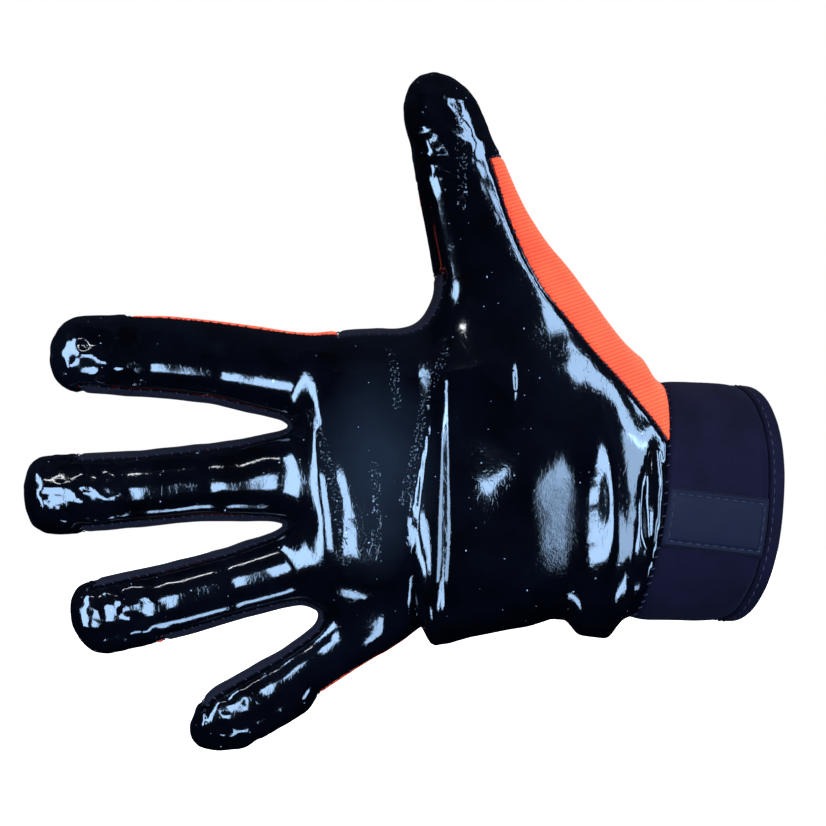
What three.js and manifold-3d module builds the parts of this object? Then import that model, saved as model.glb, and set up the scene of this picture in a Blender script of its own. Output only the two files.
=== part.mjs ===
// A right-hand ball-catching glove, held open as a hand fills it: fingers towards -X, thumb up
// along +Z, palm facing -Y. The origin is the centre of the opening that the hand goes in by.
// The hand shell is lofted once outside and once inside, then cut into the panels that are sewn
// together: a coated palm, a knitted back, side strips between the fingers and a thumb gusset.
// A padded cuff with a turned hem and a sewn tab closes it at the wrist. Sizes in millimetres.
import * as THREE from 'three';
import { mergeVertices } from 'three/addons/utils/BufferGeometryUtils.js';
import Module from 'manifold-3d';

// The hand shell
const palmLength = 103; // wrist seam to the crotch between index and middle finger
const palmBreadth = 92; // across the palm below the thumb web
const palmDepth = 31; // palm to back, at the heel of the hand
const handWall = 1.6; // coated palm cloth, and the knit behind it
const seamForward = 2.4; // how far the side seam lies towards the palm from mid depth
const fingerCurl = 6; // how far the fingertips come forward of the palm
const thumbReach = 11; // how far the thumb tip comes forward of the palm
const gussetBreadth = 10.5; // side strips between the fingers
const webBreadth = 15; // gusset in the thumb web
const seamGap = 0.3; // between two panels that are sewn to each other

// The cuff
const cuffLength = 35; // wrist seam to opening, along the cuff's own axis
const wristBreadth = 71;
const wristDepth = 47;
const cuffWall = 2.6;
const cuffTilt = 21; // degrees that the forearm leans back from the palm
const cuffDrop = 3; // degrees that it leans away from the thumb
const seamSlant = 5; // degrees that the wrist seam slants, longer on the little finger's side
const seamLean = 10.5; // degrees that it leans, longer on the palm side
const openingSlant = 4; // degrees that the opening slants, shorter on the little finger's side
const hemBreadth = 5;
const hemProud = 0.2; // how far the turned hem stands out, on both faces of the cuff
const tabBreadth = 17.3;
const tabThickness = 1;
const tabDrop = 3.8; // middle of the tab below the opening's centre
const tabSlope = 7.5; // degrees that the tab falls towards the opening

// How finely the rings are drawn, and how square they are: 2 is an ellipse, more is squarer
const palmRing = { sides: 36, squareness: 2.7 };
const fingerRing = { sides: 16, squareness: 2.2 };
const thumbRing = { sides: 20, squareness: 2.2 };
const cuffRing = { sides: 40, squareness: 2.3 };

// Each digit's root is placed by along and up, shares of palmLength from the wrist seam and of
// palmBreadth above the opening's centre. lean is degrees from -X towards +Z. wrap is the length
// that the coated palm covers all round the tip.
const index = { along: 0.771, up: 0.424, lean: 3.9, length: 97, breadth: 23.4, depth: 19, wrap: 22 };
const middle = { along: 0.771, up: 0.112, lean: -4.3, length: 105, breadth: 22.4, depth: 19, wrap: 22 };
const ring = { along: 0.771, up: -0.141, lean: -13.9, length: 93, breadth: 22, depth: 18.5, wrap: 22 };
const little = { along: 0.578, up: -0.268, lean: -31, length: 88, breadth: 19.4, depth: 16.5, wrap: 40 };
const thumb = { along: 0.266, up: 0.217, lean: 70.9, length: 114, breadth: 24, depth: 21, wrap: 30 };

// Sections of a finger from root to tip, at shares of its length: half its breadth and half its
// depth as shares of the finger's own. The little finger is the tapered one, the others are blunt.
const fingerSections = [
  { at: 0, blunt: 1, tapered: 0.9, depth: 0.95 },
  { at: 0.2, blunt: 1.14, tapered: 0.9, depth: 1.06 },
  { at: 0.32, blunt: 1.12, tapered: 0.9, depth: 1.05 },
  { at: 0.45, blunt: 1.02, tapered: 0.9, depth: 1 },
  { at: 0.6, blunt: 1, tapered: 0.98, depth: 1 },
  { at: 0.75, blunt: 1.02, tapered: 1.05, depth: 1 },
  { at: 0.86, blunt: 1.02, tapered: 1.02, depth: 0.94 },
  { at: 0.93, blunt: 0.96, tapered: 0.8, depth: 0.8 },
  { at: 0.975, blunt: 0.8, tapered: 0.55, depth: 0.56 },
  { at: 1, blunt: 0.5, tapered: 0.3, depth: 0.26 },
];

// The thumb with the mound at its base, from root to tip. left faces the index finger, right is the
// outer side, seam is where the coated palm ends on the front. Shares of half the thumb's size.
const thumbSections = [
  { at: -0.05, left: 1.9, right: 2.72, front: 1.75, back: 1.6, seam: 2.5 },
  { at: 0.07, left: 1.9, right: 2.56, front: 1.72, back: 1.5, seam: 2.09 },
  { at: 0.18, left: 2, right: 2.4, front: 1.62, back: 1.42, seam: 1.64 },
  { at: 0.28, left: 2, right: 2.12, front: 1.5, back: 1.34, seam: 1.31 },
  { at: 0.37, left: 1.86, right: 1.86, front: 1.36, back: 1.26, seam: 0.97 },
  { at: 0.47, left: 1.5, right: 1.5, front: 1.24, back: 1.18, seam: 0.8 },
  { at: 0.58, left: 1.3, right: 1.18, front: 1.14, back: 1.1, seam: 0.74 },
  { at: 0.7, left: 1.14, right: 1.03, front: 1.08, back: 1.04, seam: 0.8 },
  { at: 0.82, left: 1, right: 1, front: 1.03, back: 1, seam: 0.8 },
  { at: 0.9, left: 0.92, right: 0.92, front: 0.92, back: 0.88, seam: 0.8 },
  { at: 0.96, left: 0.76, right: 0.68, front: 0.7, back: 0.66, seam: 0.8 },
  { at: 1, left: 0.42, right: 0.36, front: 0.3, back: 0.3, seam: 0.8 },
];

// Sections of the palm from the wrist to the crotches. Each runs from a high point on the thumb's
// side to a low one on the little finger's side, as shares of palmLength and palmBreadth, and has
// its depth in front and behind as shares of palmDepth.
const palmSections = [
  { highAlong: 0.06, high: 0.48, lowAlong: 0.13, low: -0.43, front: 0.72, back: 0.62 }, // heel
  { highAlong: 0.14, high: 0.5, lowAlong: 0.195, low: -0.37, front: 0.61, back: 0.6 }, // fold above it
  { highAlong: 0.257, high: 0.51, lowAlong: 0.299, low: -0.385, front: 0.62, back: 0.56 }, // thumb mound
  { highAlong: 0.426, high: 0.55, lowAlong: 0.469, low: -0.42, front: 0.54, back: 0.53 }, // hollow
  { highAlong: 0.537, high: 0.59, lowAlong: 0.558, low: -0.448, front: 0.55, back: 0.52 },
  { highAlong: 0.587, high: 0.595, lowAlong: 0.604, low: -0.455, front: 0.64, back: 0.52 }, // fold's crest
  { highAlong: 0.633, high: 0.585, lowAlong: 0.67, low: -0.38, front: 0.5, back: 0.51 }, // fold's foot
  { highAlong: 0.723, high: 0.565, lowAlong: 0.744, low: -0.415, front: 0.52, back: 0.5 }, // knuckles
  { highAlong: 0.839, high: 0.54, lowAlong: 0.802, low: -0.375, front: 0.48, back: 0.48 }, // finger crease
  { highAlong: 0.98, high: 0.49, lowAlong: 0.871, low: -0.34, front: 0.4, back: 0.4 },
  { highAlong: 1.09, high: 0.4, lowAlong: 0.918, low: -0.28, front: 0.24, back: 0.24 }, // crotches
];

// Corners of the gusset in the thumb web, seen from the palm. at is a share of the digit's length,
// across a share of its breadth to the side where the thumb is on the right of the index finger.
// The corners with cut 1 lie on the gusset's own edge, the others in the air or inside the palm.
const webCorners = [
  { digit: index, at: 0.13, across: 0.3, cut: 1 },
  { digit: index, at: 0.13, across: 1, cut: 1 },
  { digit: thumb, at: 0.5, across: -1.3, cut: 1 },
  { digit: thumb, at: 0.5, across: -0.3, cut: 1 },
  { digit: thumb, at: 0.22, across: -0.3, cut: 0 },
];
const stripStart = 0.02; // the side strips, as shares of a finger's length from its root
const stripEnd = 0.9;
const tipHalf = 0.62; // half the breadth of the block that cuts off a tip, as a share of the digit's
const far = 300; // reach of a cutting block past the glove on every side

const deg = THREE.MathUtils.degToRad;
const { clamp, smoothstep } = THREE.MathUtils;

// The cuff's own axes: out of the opening, towards the back of the hand, towards the thumb.
const cuffFrame = new THREE.Matrix4()
  .makeRotationZ(deg(cuffTilt))
  .multiply(new THREE.Matrix4().makeRotationY(deg(cuffDrop)));
const [cuffAxis, cuffDeep, cuffUp] = [0, 1, 2].map((column) =>
  new THREE.Vector3().setFromMatrixColumn(cuffFrame, column));
const wrist = cuffAxis.clone().multiplyScalar(-cuffLength);
const handDeep = new THREE.Vector3(0, 1, 0);

const wasm = await Module();
wasm.setup();

function solidOf(geometry) {
  geometry.deleteAttribute('normal');
  geometry.deleteAttribute('uv');
  const merged = mergeVertices(geometry, 1e-4);
  const vertProperties = new Float32Array(merged.attributes.position.array);
  const triVerts = new Uint32Array(merged.index.array);
  return new wasm.Manifold(new wasm.Mesh({ numProp: 3, vertProperties, triVerts }));
}

// The points of one ring of a tube. across is half its breadth as a vector, deep the direction of
// its back, front and back its two depths. inset moves the whole ring inwards.
function ringPoints({ centre, across, deep, front, back }, { sides, squareness }, inset) {
  const half = across.clone().setLength(across.length() - inset);
  const roundness = 2 / squareness;
  return Array.from({ length: sides }, (_, i) => {
    const angle = (i / sides) * Math.PI * 2;
    const sideways = Math.sign(Math.cos(angle)) * Math.abs(Math.cos(angle)) ** roundness;
    const deepways = Math.sign(Math.sin(angle)) * Math.abs(Math.sin(angle)) ** roundness;
    const reach = (deepways > 0 ? back : front) - inset;
    return centre.clone().addScaledVector(half, sideways).addScaledVector(deep, deepways * reach);
  });
}

// A closed tube through stations, its skin lying inset inside them.
function tube(stations, form, inset = 0) {
  const { sides } = form;
  const points = stations.flatMap((station) => ringPoints(station, form, inset));
  const faces = [];
  for (let step = 0; step < stations.length - 1; step++) {
    for (let i = 0; i < sides; i++) {
      const a = step * sides + i;
      const b = step * sides + ((i + 1) % sides);
      faces.push(a, b, a + sides, b, b + sides, a + sides);
    }
  }
  const start = points.push(stations[0].centre.clone()) - 1;
  const end = points.push(stations.at(-1).centre.clone()) - 1;
  const lastRing = (stations.length - 1) * sides;
  for (let i = 0; i < sides; i++) {
    const next = (i + 1) % sides;
    faces.push(start, next, i, end, lastRing + i, lastRing + next);
  }
  const geometry = new THREE.BufferGeometry().setFromPoints(points).setIndex(faces);
  const solid = solidOf(geometry);
  if (solid.volume() > 0) return solid;
  for (let i = 0; i < faces.length; i += 3) [faces[i + 1], faces[i + 2]] = [faces[i + 2], faces[i + 1]];
  return solidOf(geometry.setIndex(faces));
}

// The same stations reaching past both ends, for boring a hole right through.
function lengthened(stations) {
  const first = { ...stations[0], centre: stations[0].centre.clone().sub(cuffAxis) };
  const last = { ...stations.at(-1), centre: stations.at(-1).centre.clone().add(cuffAxis) };
  return [first, ...stations.slice(1, -1), last];
}

// Everything between two depths, each a function of x and z.
function layer(nearDepth, farDepth) {
  const cells = 20;
  const block = new THREE.BoxGeometry(far, 2, far, cells, 1, cells);
  const place = block.attributes.position;
  for (let i = 0; i < place.count; i++) {
    const x = place.getX(i) - far / 2 + cuffLength;
    const z = place.getZ(i) + palmBreadth / 2;
    place.setXYZ(i, x, place.getY(i) < 0 ? nearDepth(x, z) : farDepth(x, z), z);
  }
  return solidOf(block);
}

// Everything behind and in front of an outline in the palm's plane, given as points of x and z.
function prism(outline) {
  const block = new THREE.ExtrudeGeometry(new THREE.Shape(outline), { depth: far, bevelEnabled: false });
  return solidOf(block.rotateX(Math.PI / 2).translate(0, far / 2, 0));
}

// The largest body of a cut piece: the offcuts are thrown away.
function mainBody(solid) {
  return solid.decompose().reduce((best, body) => (body.volume() > best.volume() ? body : best));
}

function union(solids) {
  return solids.reduce((sum, solid) => sum.add(solid));
}

// Depth of the middle of the hand shell: level in the palm, forward at the fingertips and thumb tip.
function midDepth(x, z) {
  const fingerShare = clamp((wrist.x - palmLength - x) / middle.length, 0, 1);
  const thumbShare = smoothstep(z, palmBreadth / 2, palmBreadth / 2 + thumb.length * 0.75);
  return wrist.y - fingerShare ** 2 * fingerCurl - thumbShare * thumbReach;
}

// A digit's axis in the palm's plane. at gives x and z for a share of its length and a distance
// across it, moved back towards the root by inset.
function axisOf(digit) {
  const root = new THREE.Vector2(wrist.x - digit.along * palmLength, digit.up * palmBreadth);
  const ahead = new THREE.Vector2(-Math.cos(deg(digit.lean)), Math.sin(deg(digit.lean)));
  const side = new THREE.Vector2(ahead.y, -ahead.x);
  const at = (share, across = 0, inset = 0) =>
    root.clone().addScaledVector(ahead, share * digit.length - inset).addScaledVector(side, across);
  return { at, side: new THREE.Vector3(side.x, 0, side.y) };
}

function digitStation(digit, at, { left, right, front, back }, inset) {
  const axis = axisOf(digit);
  const halfBreadth = digit.breadth / 2;
  const halfDepth = digit.depth / 2;
  const { x, y: z } = axis.at(at, ((right - left) / 2) * halfBreadth, inset);
  return {
    centre: new THREE.Vector3(x, midDepth(x, z), z),
    across: axis.side.clone().multiplyScalar(((right + left) / 2) * halfBreadth),
    deep: handDeep,
    front: front * halfDepth,
    back: back * halfDepth,
  };
}

function fingerTube(finger, form, inset) {
  const stations = fingerSections.map(({ at, depth, ...breadths }) => {
    const half = breadths[form];
    return digitStation(finger, at, { left: half, right: half, front: depth, back: depth }, inset);
  });
  return tube(stations, fingerRing, inset);
}

function thumbTube(inset) {
  const stations = thumbSections.map((row) => digitStation(thumb, row.at, row, inset));
  return tube(stations, thumbRing, inset);
}

// A section of the cuff at a distance from the opening, slanted as the opening is.
function cuffStation(fromOpening, grow = 0) {
  const across = cuffUp.clone().addScaledVector(cuffAxis, Math.tan(deg(openingSlant)));
  return {
    centre: cuffAxis.clone().multiplyScalar(-fromOpening),
    across: across.multiplyScalar(wristBreadth / 2 + grow),
    deep: cuffDeep,
    front: wristDepth / 2 + grow,
    back: wristDepth / 2 + grow,
  };
}

// The section through the cuff that leans as the wrist seam does.
function seamStation() {
  const deep = cuffDeep.clone().addScaledVector(cuffAxis, Math.tan(deg(seamLean)));
  return { ...cuffStation(cuffLength), deep };
}

function palmStation({ highAlong, high, lowAlong, low, front, back }) {
  const top = new THREE.Vector3(wrist.x - highAlong * palmLength, 0, high * palmBreadth);
  const bottom = new THREE.Vector3(wrist.x - lowAlong * palmLength, 0, low * palmBreadth);
  const centre = top.clone().add(bottom).divideScalar(2);
  centre.y = midDepth(centre.x, centre.z);
  const across = top.sub(bottom).divideScalar(2);
  return { centre, across, deep: handDeep, front: front * palmDepth, back: back * palmDepth };
}

function palmTube(inset) {
  const stations = palmSections.map(palmStation);
  stations.at(-1).centre.x += inset;
  return tube([cuffStation(cuffLength / 2), seamStation(), ...stations], palmRing, inset);
}

// All that lies on one side of the wrist seam: side 1 is the cuff's, side -1 the hand's.
function wristBlock(side) {
  return solidOf(
    new THREE.BoxGeometry(far, far, far)
      .translate((side * (far + seamGap)) / 2, 0, 0)
      .rotateZ(deg(-seamLean))
      .rotateY(deg(seamSlant))
      .applyMatrix4(cuffFrame)
      .translate(wrist.x, wrist.y, wrist.z));
}

function handSkin(inset) {
  const blunt = [index, middle, ring].map((finger) => fingerTube(finger, 'blunt', inset));
  return union([palmTube(inset), thumbTube(inset), ...blunt, fingerTube(little, 'tapered', inset)]);
}

function band(breadth, margin) {
  const half = breadth / 2 + margin;
  return layer((x, z) => midDepth(x, z) - half, (x, z) => midDepth(x, z) + half);
}

// The strip between two fingers: their facing sides and the crotch between them.
function stripZone(first, second, margin) {
  const end = (finger) => stripEnd + margin / finger.length;
  const [a, b] = [axisOf(first), axisOf(second)];
  const outline = [a.at(stripStart), a.at(end(first)), b.at(end(second)), b.at(stripStart)];
  return prism(outline).intersect(band(gussetBreadth, margin));
}

function webZone(margin) {
  const outline = webCorners.map(({ digit, at, across, cut }) =>
    axisOf(digit).at(at + (cut * margin) / digit.length, across * digit.breadth));
  return prism(outline).intersect(band(webBreadth, margin));
}

// The outer side of the thumb, where the knitted back comes round to the front as far as the seam.
function thumbOuterZone(margin) {
  const axis = axisOf(thumb);
  const across = (share) => (share * thumb.breadth) / 2 - margin;
  const tipStart = 1 - thumb.wrap / thumb.length;
  const rows = thumbSections.filter(({ at }) => at < tipStart);
  const [below, beyond] = [-0.4, 8];
  return prism([
    axis.at(below, across(3.2)),
    ...rows.map(({ at, seam }) => axis.at(at, across(seam))),
    axis.at(tipStart + margin / thumb.length, across(rows.at(-1).seam)),
    axis.at(tipStart + margin / thumb.length, across(beyond)),
    axis.at(below, across(beyond)),
  ]);
}

// The end of a digit that the coated palm wraps all round.
function tipZone(digit, margin) {
  const axis = axisOf(digit);
  const start = 1 - (digit.wrap + margin) / digit.length;
  const half = digit.breadth * tipHalf;
  const end = 1.1;
  return prism([axis.at(start, -half), axis.at(start, half), axis.at(end, half), axis.at(end, -half)]);
}

const gussets = [
  { name: 'index_middle_strip', zone: (margin) => stripZone(index, middle, margin) },
  { name: 'middle_ring_strip', zone: (margin) => stripZone(middle, ring, margin) },
  { name: 'ring_little_strip', zone: (margin) => stripZone(ring, little, margin) },
  { name: 'thumb_web_gusset', zone: webZone },
];

function handPanels() {
  const shell = handSkin(0).subtract(handSkin(handWall)).intersect(wristBlock(-1));
  const seamDepth = (x, z) => midDepth(x, z) - seamForward;
  const inFront = layer(() => -far, seamDepth).subtract(thumbOuterZone(seamGap));
  const behind = layer((x, z) => seamDepth(x, z) + seamGap, () => far).add(thumbOuterZone(0));
  const tips = (margin) => union([index, middle, ring, little, thumb].map((digit) => tipZone(digit, margin)));
  const strips = union(gussets.map(({ zone }) => zone(seamGap)));
  return [
    ['palm_panel', mainBody(shell.intersect(inFront.add(tips(0))).subtract(strips))],
    ['back_panel', mainBody(shell.intersect(behind).subtract(tips(seamGap)).subtract(strips))],
    ...gussets.map(({ name, zone }) => [name, mainBody(shell.intersect(zone(0)))]),
  ];
}

// The cuff's sleeve runs past the wrist seam before it is cut to the seam's slant.
const cuffBlank = [cuffStation(cuffLength * 1.5), cuffStation(hemBreadth + seamGap)];

function cuffSleeve() {
  const bore = tube(lengthened(cuffBlank), cuffRing, cuffWall);
  return tube(cuffBlank, cuffRing).subtract(bore).intersect(wristBlock(1));
}

function cuffHem() {
  const outside = [
    cuffStation(hemBreadth, hemProud / 2),
    cuffStation(hemBreadth * 0.75, hemProud),
    cuffStation(hemBreadth * 0.2, hemProud),
    cuffStation(0, -hemProud),
  ];
  const bore = [cuffStation(hemBreadth), cuffStation(0)];
  return tube(outside, cuffRing).subtract(tube(lengthened(bore), cuffRing, cuffWall + hemProud));
}

// The tab lies on the palm side of the cuff, from the wrist seam to the hem.
function wristTab() {
  const ends = (grow) => [cuffStation(cuffLength * 1.5, grow), cuffStation(hemBreadth + 2 * seamGap, grow)];
  const bore = tube(lengthened(ends(seamGap)), cuffRing);
  const plate = tube(ends(seamGap + tabThickness), cuffRing).subtract(bore);
  const palmSide = layer(() => -far, (x) => x * Math.tan(deg(cuffTilt)));
  const strap = solidOf(
    new THREE.BoxGeometry(far, far, tabBreadth)
      .rotateY(deg(tabSlope))
      .translate(wrist.x / 2, 0, -tabDrop));
  const beyondSeam = wristBlock(1).translate(seamGap, 0, 0);
  return mainBody(plate.intersect(strap).intersect(palmSide).intersect(beyondSeam));
}

const finishes = {
  palm_panel: { color: 0x07080d, roughness: 0.12, metalness: 0 },
  back_panel: { color: 0xf2431c, roughness: 0.8, metalness: 0 },
  wrist_cuff: { color: 0x17172a, roughness: 0.7, metalness: 0 },
  cuff_hem: { color: 0x141426, roughness: 0.7, metalness: 0 },
  wrist_tab: { color: 0x11141f, roughness: 0.45, metalness: 0 },
};
const gussetFinish = { color: 0x14131f, roughness: 0.75, metalness: 0 };

function meshOf(name, solid) {
  const { vertProperties, triVerts } = solid.getMesh();
  const geometry = new THREE.BufferGeometry()
    .setAttribute('position', new THREE.BufferAttribute(new Float32Array(vertProperties), 3))
    .setIndex(new THREE.BufferAttribute(new Uint32Array(triVerts), 1));
  geometry.computeVertexNormals();
  const mesh = new THREE.Mesh(geometry, new THREE.MeshStandardMaterial(finishes[name] ?? gussetFinish));
  mesh.name = name;
  return mesh;
}

const glove = new THREE.Group();
const cuffPieces = [['wrist_cuff', cuffSleeve()], ['cuff_hem', cuffHem()], ['wrist_tab', wristTab()]];
for (const [name, solid] of [...handPanels(), ...cuffPieces]) glove.add(meshOf(name, solid));

export default glove;
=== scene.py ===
"""A right-hand goalkeeper glove as a hand fills it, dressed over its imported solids.

The fingers point to -X, the thumb up to +Z, and the coated palm faces -Y. Lengths are written in
millimetres and turned into metres where a mesh is made.
"""

import math

import bpy
import numpy as np
from mathutils import Matrix, Vector


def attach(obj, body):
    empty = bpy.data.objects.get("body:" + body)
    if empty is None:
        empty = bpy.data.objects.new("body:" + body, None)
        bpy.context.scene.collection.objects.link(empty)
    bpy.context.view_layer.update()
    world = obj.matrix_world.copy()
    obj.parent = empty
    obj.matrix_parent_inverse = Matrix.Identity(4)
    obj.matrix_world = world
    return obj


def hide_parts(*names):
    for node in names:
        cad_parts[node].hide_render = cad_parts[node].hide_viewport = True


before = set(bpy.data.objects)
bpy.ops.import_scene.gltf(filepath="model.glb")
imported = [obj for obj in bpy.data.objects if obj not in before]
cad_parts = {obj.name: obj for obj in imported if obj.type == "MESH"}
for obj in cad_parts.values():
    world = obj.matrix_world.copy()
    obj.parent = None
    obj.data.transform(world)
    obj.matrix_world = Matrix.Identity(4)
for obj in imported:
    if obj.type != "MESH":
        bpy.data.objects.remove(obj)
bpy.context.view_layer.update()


# The hand's form
# The panels of a thin glove have no shape of their own: they take it from the hand inside. This is
# that form, as a field that is negative inside the glove and about a distance in millimetres. The
# palm and the five digits are rounded boxes through tables of sections, melted into each other.

cuff_tilt = math.radians(21)
cuff_drop = math.radians(3)
cuff_length = 35
cuff_axis = np.array([
    math.cos(cuff_tilt) * math.cos(cuff_drop),
    math.sin(cuff_tilt) * math.cos(cuff_drop),
    -math.sin(cuff_drop),
])
cuff_deep = np.array([-math.sin(cuff_tilt), math.cos(cuff_tilt), 0.0])
cuff_up = np.cross(cuff_axis, cuff_deep)
wrist = -cuff_length * cuff_axis
wrist_half_breadth = 35.5
wrist_half_depth = 23.5
wrist_squareness = 2.3
seam_slant = math.tan(math.radians(5))
seam_lean = math.tan(math.radians(10.5))
opening_slant = math.tan(math.radians(1.5))
opening_inset = 2.8
seam_blend = 7
cut_before_seam = 5
palm_length = 103
palm_breadth = 92
palm_depth = 31
palm_cap = 12
palm_cap_start = 0.9
finger_curl = 6
finger_curl_length = 105
thumb_reach = 11
thumb_foot = 46
thumb_rise = 85.5
wrist_bend_softness = 3
digit_squareness = 2.25
root_overlap = 8
root_fillet = 12
finger_fillet = 9
thumb_fillet = 14


def eased(at, values, softness=0.05):
    """A smooth curve through the rows of a table."""
    line = np.linspace(at[0], at[-1], 600)
    level = np.interp(line, at, values)
    reach = max(1, int(softness / (line[1] - line[0])))
    window = np.hanning(2 * reach + 3)[1:-1]
    level = np.pad(level, reach, mode="edge")
    level = np.convolve(level, window / window.sum(), "valid")
    return lambda share: np.interp(share, line, level)


def smooth_step(value, start, end):
    share = np.clip((value - start) / (end - start), 0, 1)
    return share * share * (3 - 2 * share)


def melt(first, second, reach):
    """The union of two fields, with a fillet of about that reach where they meet."""
    overlap = np.clip(1 - np.abs(first - second) / reach, 0, None)
    return np.minimum(first, second) - overlap * overlap * reach / 4


def rounded_box(across, half_breadth, deep, half_depth, tip, tip_length, squareness):
    """Distance to a tube's skin. tip runs from 0, where its end starts to round off, to 1."""
    sideways = np.abs(across / half_breadth) ** squareness + np.abs(deep / half_depth) ** squareness
    reach = (sideways + tip ** squareness) ** (1 / squareness)
    from_middle = np.sqrt(across ** 2 + deep ** 2 + (tip * tip_length) ** 2)
    return from_middle * (1 - 1 / np.maximum(reach, 1e-3))


def mid_depth(x, z):
    """Half way from palm to back: forward at the fingertips and the thumb, back along the cuff."""
    curl = np.clip((wrist[0] - palm_length - x) / finger_curl_length, 0, 1.1)
    past_wrist = x - wrist[0]
    back = math.tan(cuff_tilt) * (past_wrist + np.sqrt(past_wrist ** 2 + wrist_bend_softness ** 2)) / 2
    thumb_forward = smooth_step(z, thumb_foot, thumb_foot + thumb_rise) * thumb_reach
    return wrist[1] - curl ** 2 * finger_curl - thumb_forward + back


# A digit's root is placed by along and up, shares of the palm's length from the wrist seam and of
# its breadth above the opening's centre. lean is degrees from -X towards +Z, end the share of the
# length where the tip ends, cap the length that the tip takes to round off, wrap how much of the
# tip the coated palm covers all round.
digit_sizes = {
    "index": dict(
        along=0.771, up=0.424, lean=3.9, length=97, end=1.006, cap=10, breadth=23.4, depth=19, wrap=22),
    "middle": dict(
        along=0.771, up=0.112, lean=-4.3, length=105, end=1.002, cap=8, breadth=22.4, depth=19, wrap=22),
    "ring": dict(
        along=0.771, up=-0.141, lean=-13.9, length=93, end=1.006, cap=9, breadth=22, depth=18.5, wrap=22),
    "little": dict(
        along=0.578, up=-0.268, lean=-31, length=88, end=0.998, cap=16, breadth=19.4, depth=16.5, wrap=40),
    "thumb": dict(
        along=0.266, up=0.217, lean=70.9, length=114, end=1.002, cap=15, breadth=24, depth=21, wrap=30),
}
# Rows of a digit, at shares of its length: half its breadth on the thumb's side (top) and the other
# side (low), and half its depth in front and behind, as shares of half its breadth and depth.
digit_rows = {
    "index": [
        dict(at=0.0, top=1.0, low=1.0, front=1.35, back=0.95),
        dict(at=0.14, top=0.98, low=1.2, front=1.32, back=1.0),
        dict(at=0.25, top=0.97, low=1.36, front=1.2, back=1.06),
        dict(at=0.35, top=1.0, low=1.24, front=1.06, back=1.05),
        dict(at=0.5, top=1.08, low=1.03, front=1.0, back=1.0),
        dict(at=0.65, top=1.13, low=0.97, front=1.0, back=1.0),
        dict(at=0.78, top=1.09, low=0.98, front=1.0, back=1.0),
        dict(at=0.88, top=0.99, low=0.96, front=0.97, back=0.95),
        dict(at=1.0, top=0.93, low=0.97, front=0.88, back=0.86),
    ],
    "middle": [
        dict(at=0.0, top=1.0, low=1.0, front=1.35, back=0.95),
        dict(at=0.14, top=1.13, low=1.08, front=1.32, back=1.0),
        dict(at=0.28, top=1.26, low=1.16, front=1.16, back=1.06),
        dict(at=0.38, top=1.12, low=1.08, front=1.04, back=1.04),
        dict(at=0.52, top=1.06, low=0.98, front=1.0, back=1.0),
        dict(at=0.68, top=1.02, low=1.02, front=1.0, back=1.0),
        dict(at=0.88, top=1.08, low=1.05, front=0.98, back=0.95),
        dict(at=1.0, top=1.05, low=1.0, front=0.88, back=0.86),
    ],
    "ring": [
        dict(at=0.0, top=1.0, low=0.9, front=1.35, back=0.95),
        dict(at=0.2, top=1.2, low=1.04, front=1.24, back=1.06),
        dict(at=0.33, top=1.12, low=0.95, front=1.06, back=1.04),
        dict(at=0.48, top=1.02, low=0.97, front=1.0, back=1.0),
        dict(at=0.65, top=1.0, low=1.04, front=1.0, back=1.0),
        dict(at=0.85, top=1.06, low=1.05, front=0.98, back=0.95),
        dict(at=1.0, top=1.07, low=0.92, front=0.88, back=0.86),
    ],
    "little": [
        dict(at=0.0, top=0.9, low=0.5, front=1.2, back=0.95),
        dict(at=0.2, top=0.95, low=0.74, front=1.12, back=1.04),
        dict(at=0.35, top=1.18, low=0.76, front=1.04, back=1.04),
        dict(at=0.5, top=1.0, low=0.78, front=1.0, back=1.0),
        dict(at=0.56, top=0.97, low=0.84, front=1.0, back=1.0),
        dict(at=0.6, top=0.96, low=1.1, front=1.0, back=1.0),
        dict(at=0.75, top=1.01, low=1.1, front=1.0, back=1.0),
        dict(at=0.86, top=1.05, low=1.05, front=0.98, back=0.95),
        dict(at=1.0, top=0.8, low=0.82, front=0.85, back=0.82),
    ],
    "thumb": [
        dict(at=-0.05, top=2.46, low=1.9, front=1.75, back=1.6),
        dict(at=0.07, top=2.46, low=1.9, front=1.72, back=1.5),
        dict(at=0.2, top=2.27, low=2.0, front=1.6, back=1.4),
        dict(at=0.3, top=2.09, low=1.96, front=1.46, back=1.32),
        dict(at=0.4, top=1.8, low=1.86, front=1.32, back=1.24),
        dict(at=0.48, top=1.49, low=1.5, front=1.24, back=1.18),
        dict(at=0.58, top=1.24, low=1.34, front=1.14, back=1.1),
        dict(at=0.7, top=1.11, low=1.18, front=1.08, back=1.04),
        dict(at=0.8, top=0.99, low=1.01, front=1.03, back=1.0),
        dict(at=0.9, top=0.92, low=0.92, front=0.96, back=0.92),
        dict(at=1.0, top=0.74, low=0.87, front=0.84, back=0.8),
    ],
}
digits = {}
for name, sizes in digit_sizes.items():
    rows = digit_rows[name]
    at = [row["at"] for row in rows]
    curves = {side: eased(at, [row[side] for row in rows]) for side in ("top", "low", "front", "back")}
    lean = math.radians(sizes["lean"])
    root = (wrist[0] - sizes["along"] * palm_length, sizes["up"] * palm_breadth)
    digits[name] = dict(sizes, **curves, name=name, root=root, ahead=(-math.cos(lean), math.sin(lean)))


def on_digit(digit, x, z):
    """Share of the digit's length, and distance across it towards the thumb's side."""
    dx = x - digit["root"][0]
    dz = z - digit["root"][1]
    ahead_x, ahead_z = digit["ahead"]
    return (dx * ahead_x + dz * ahead_z) / digit["length"], dx * ahead_z - dz * ahead_x


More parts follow.
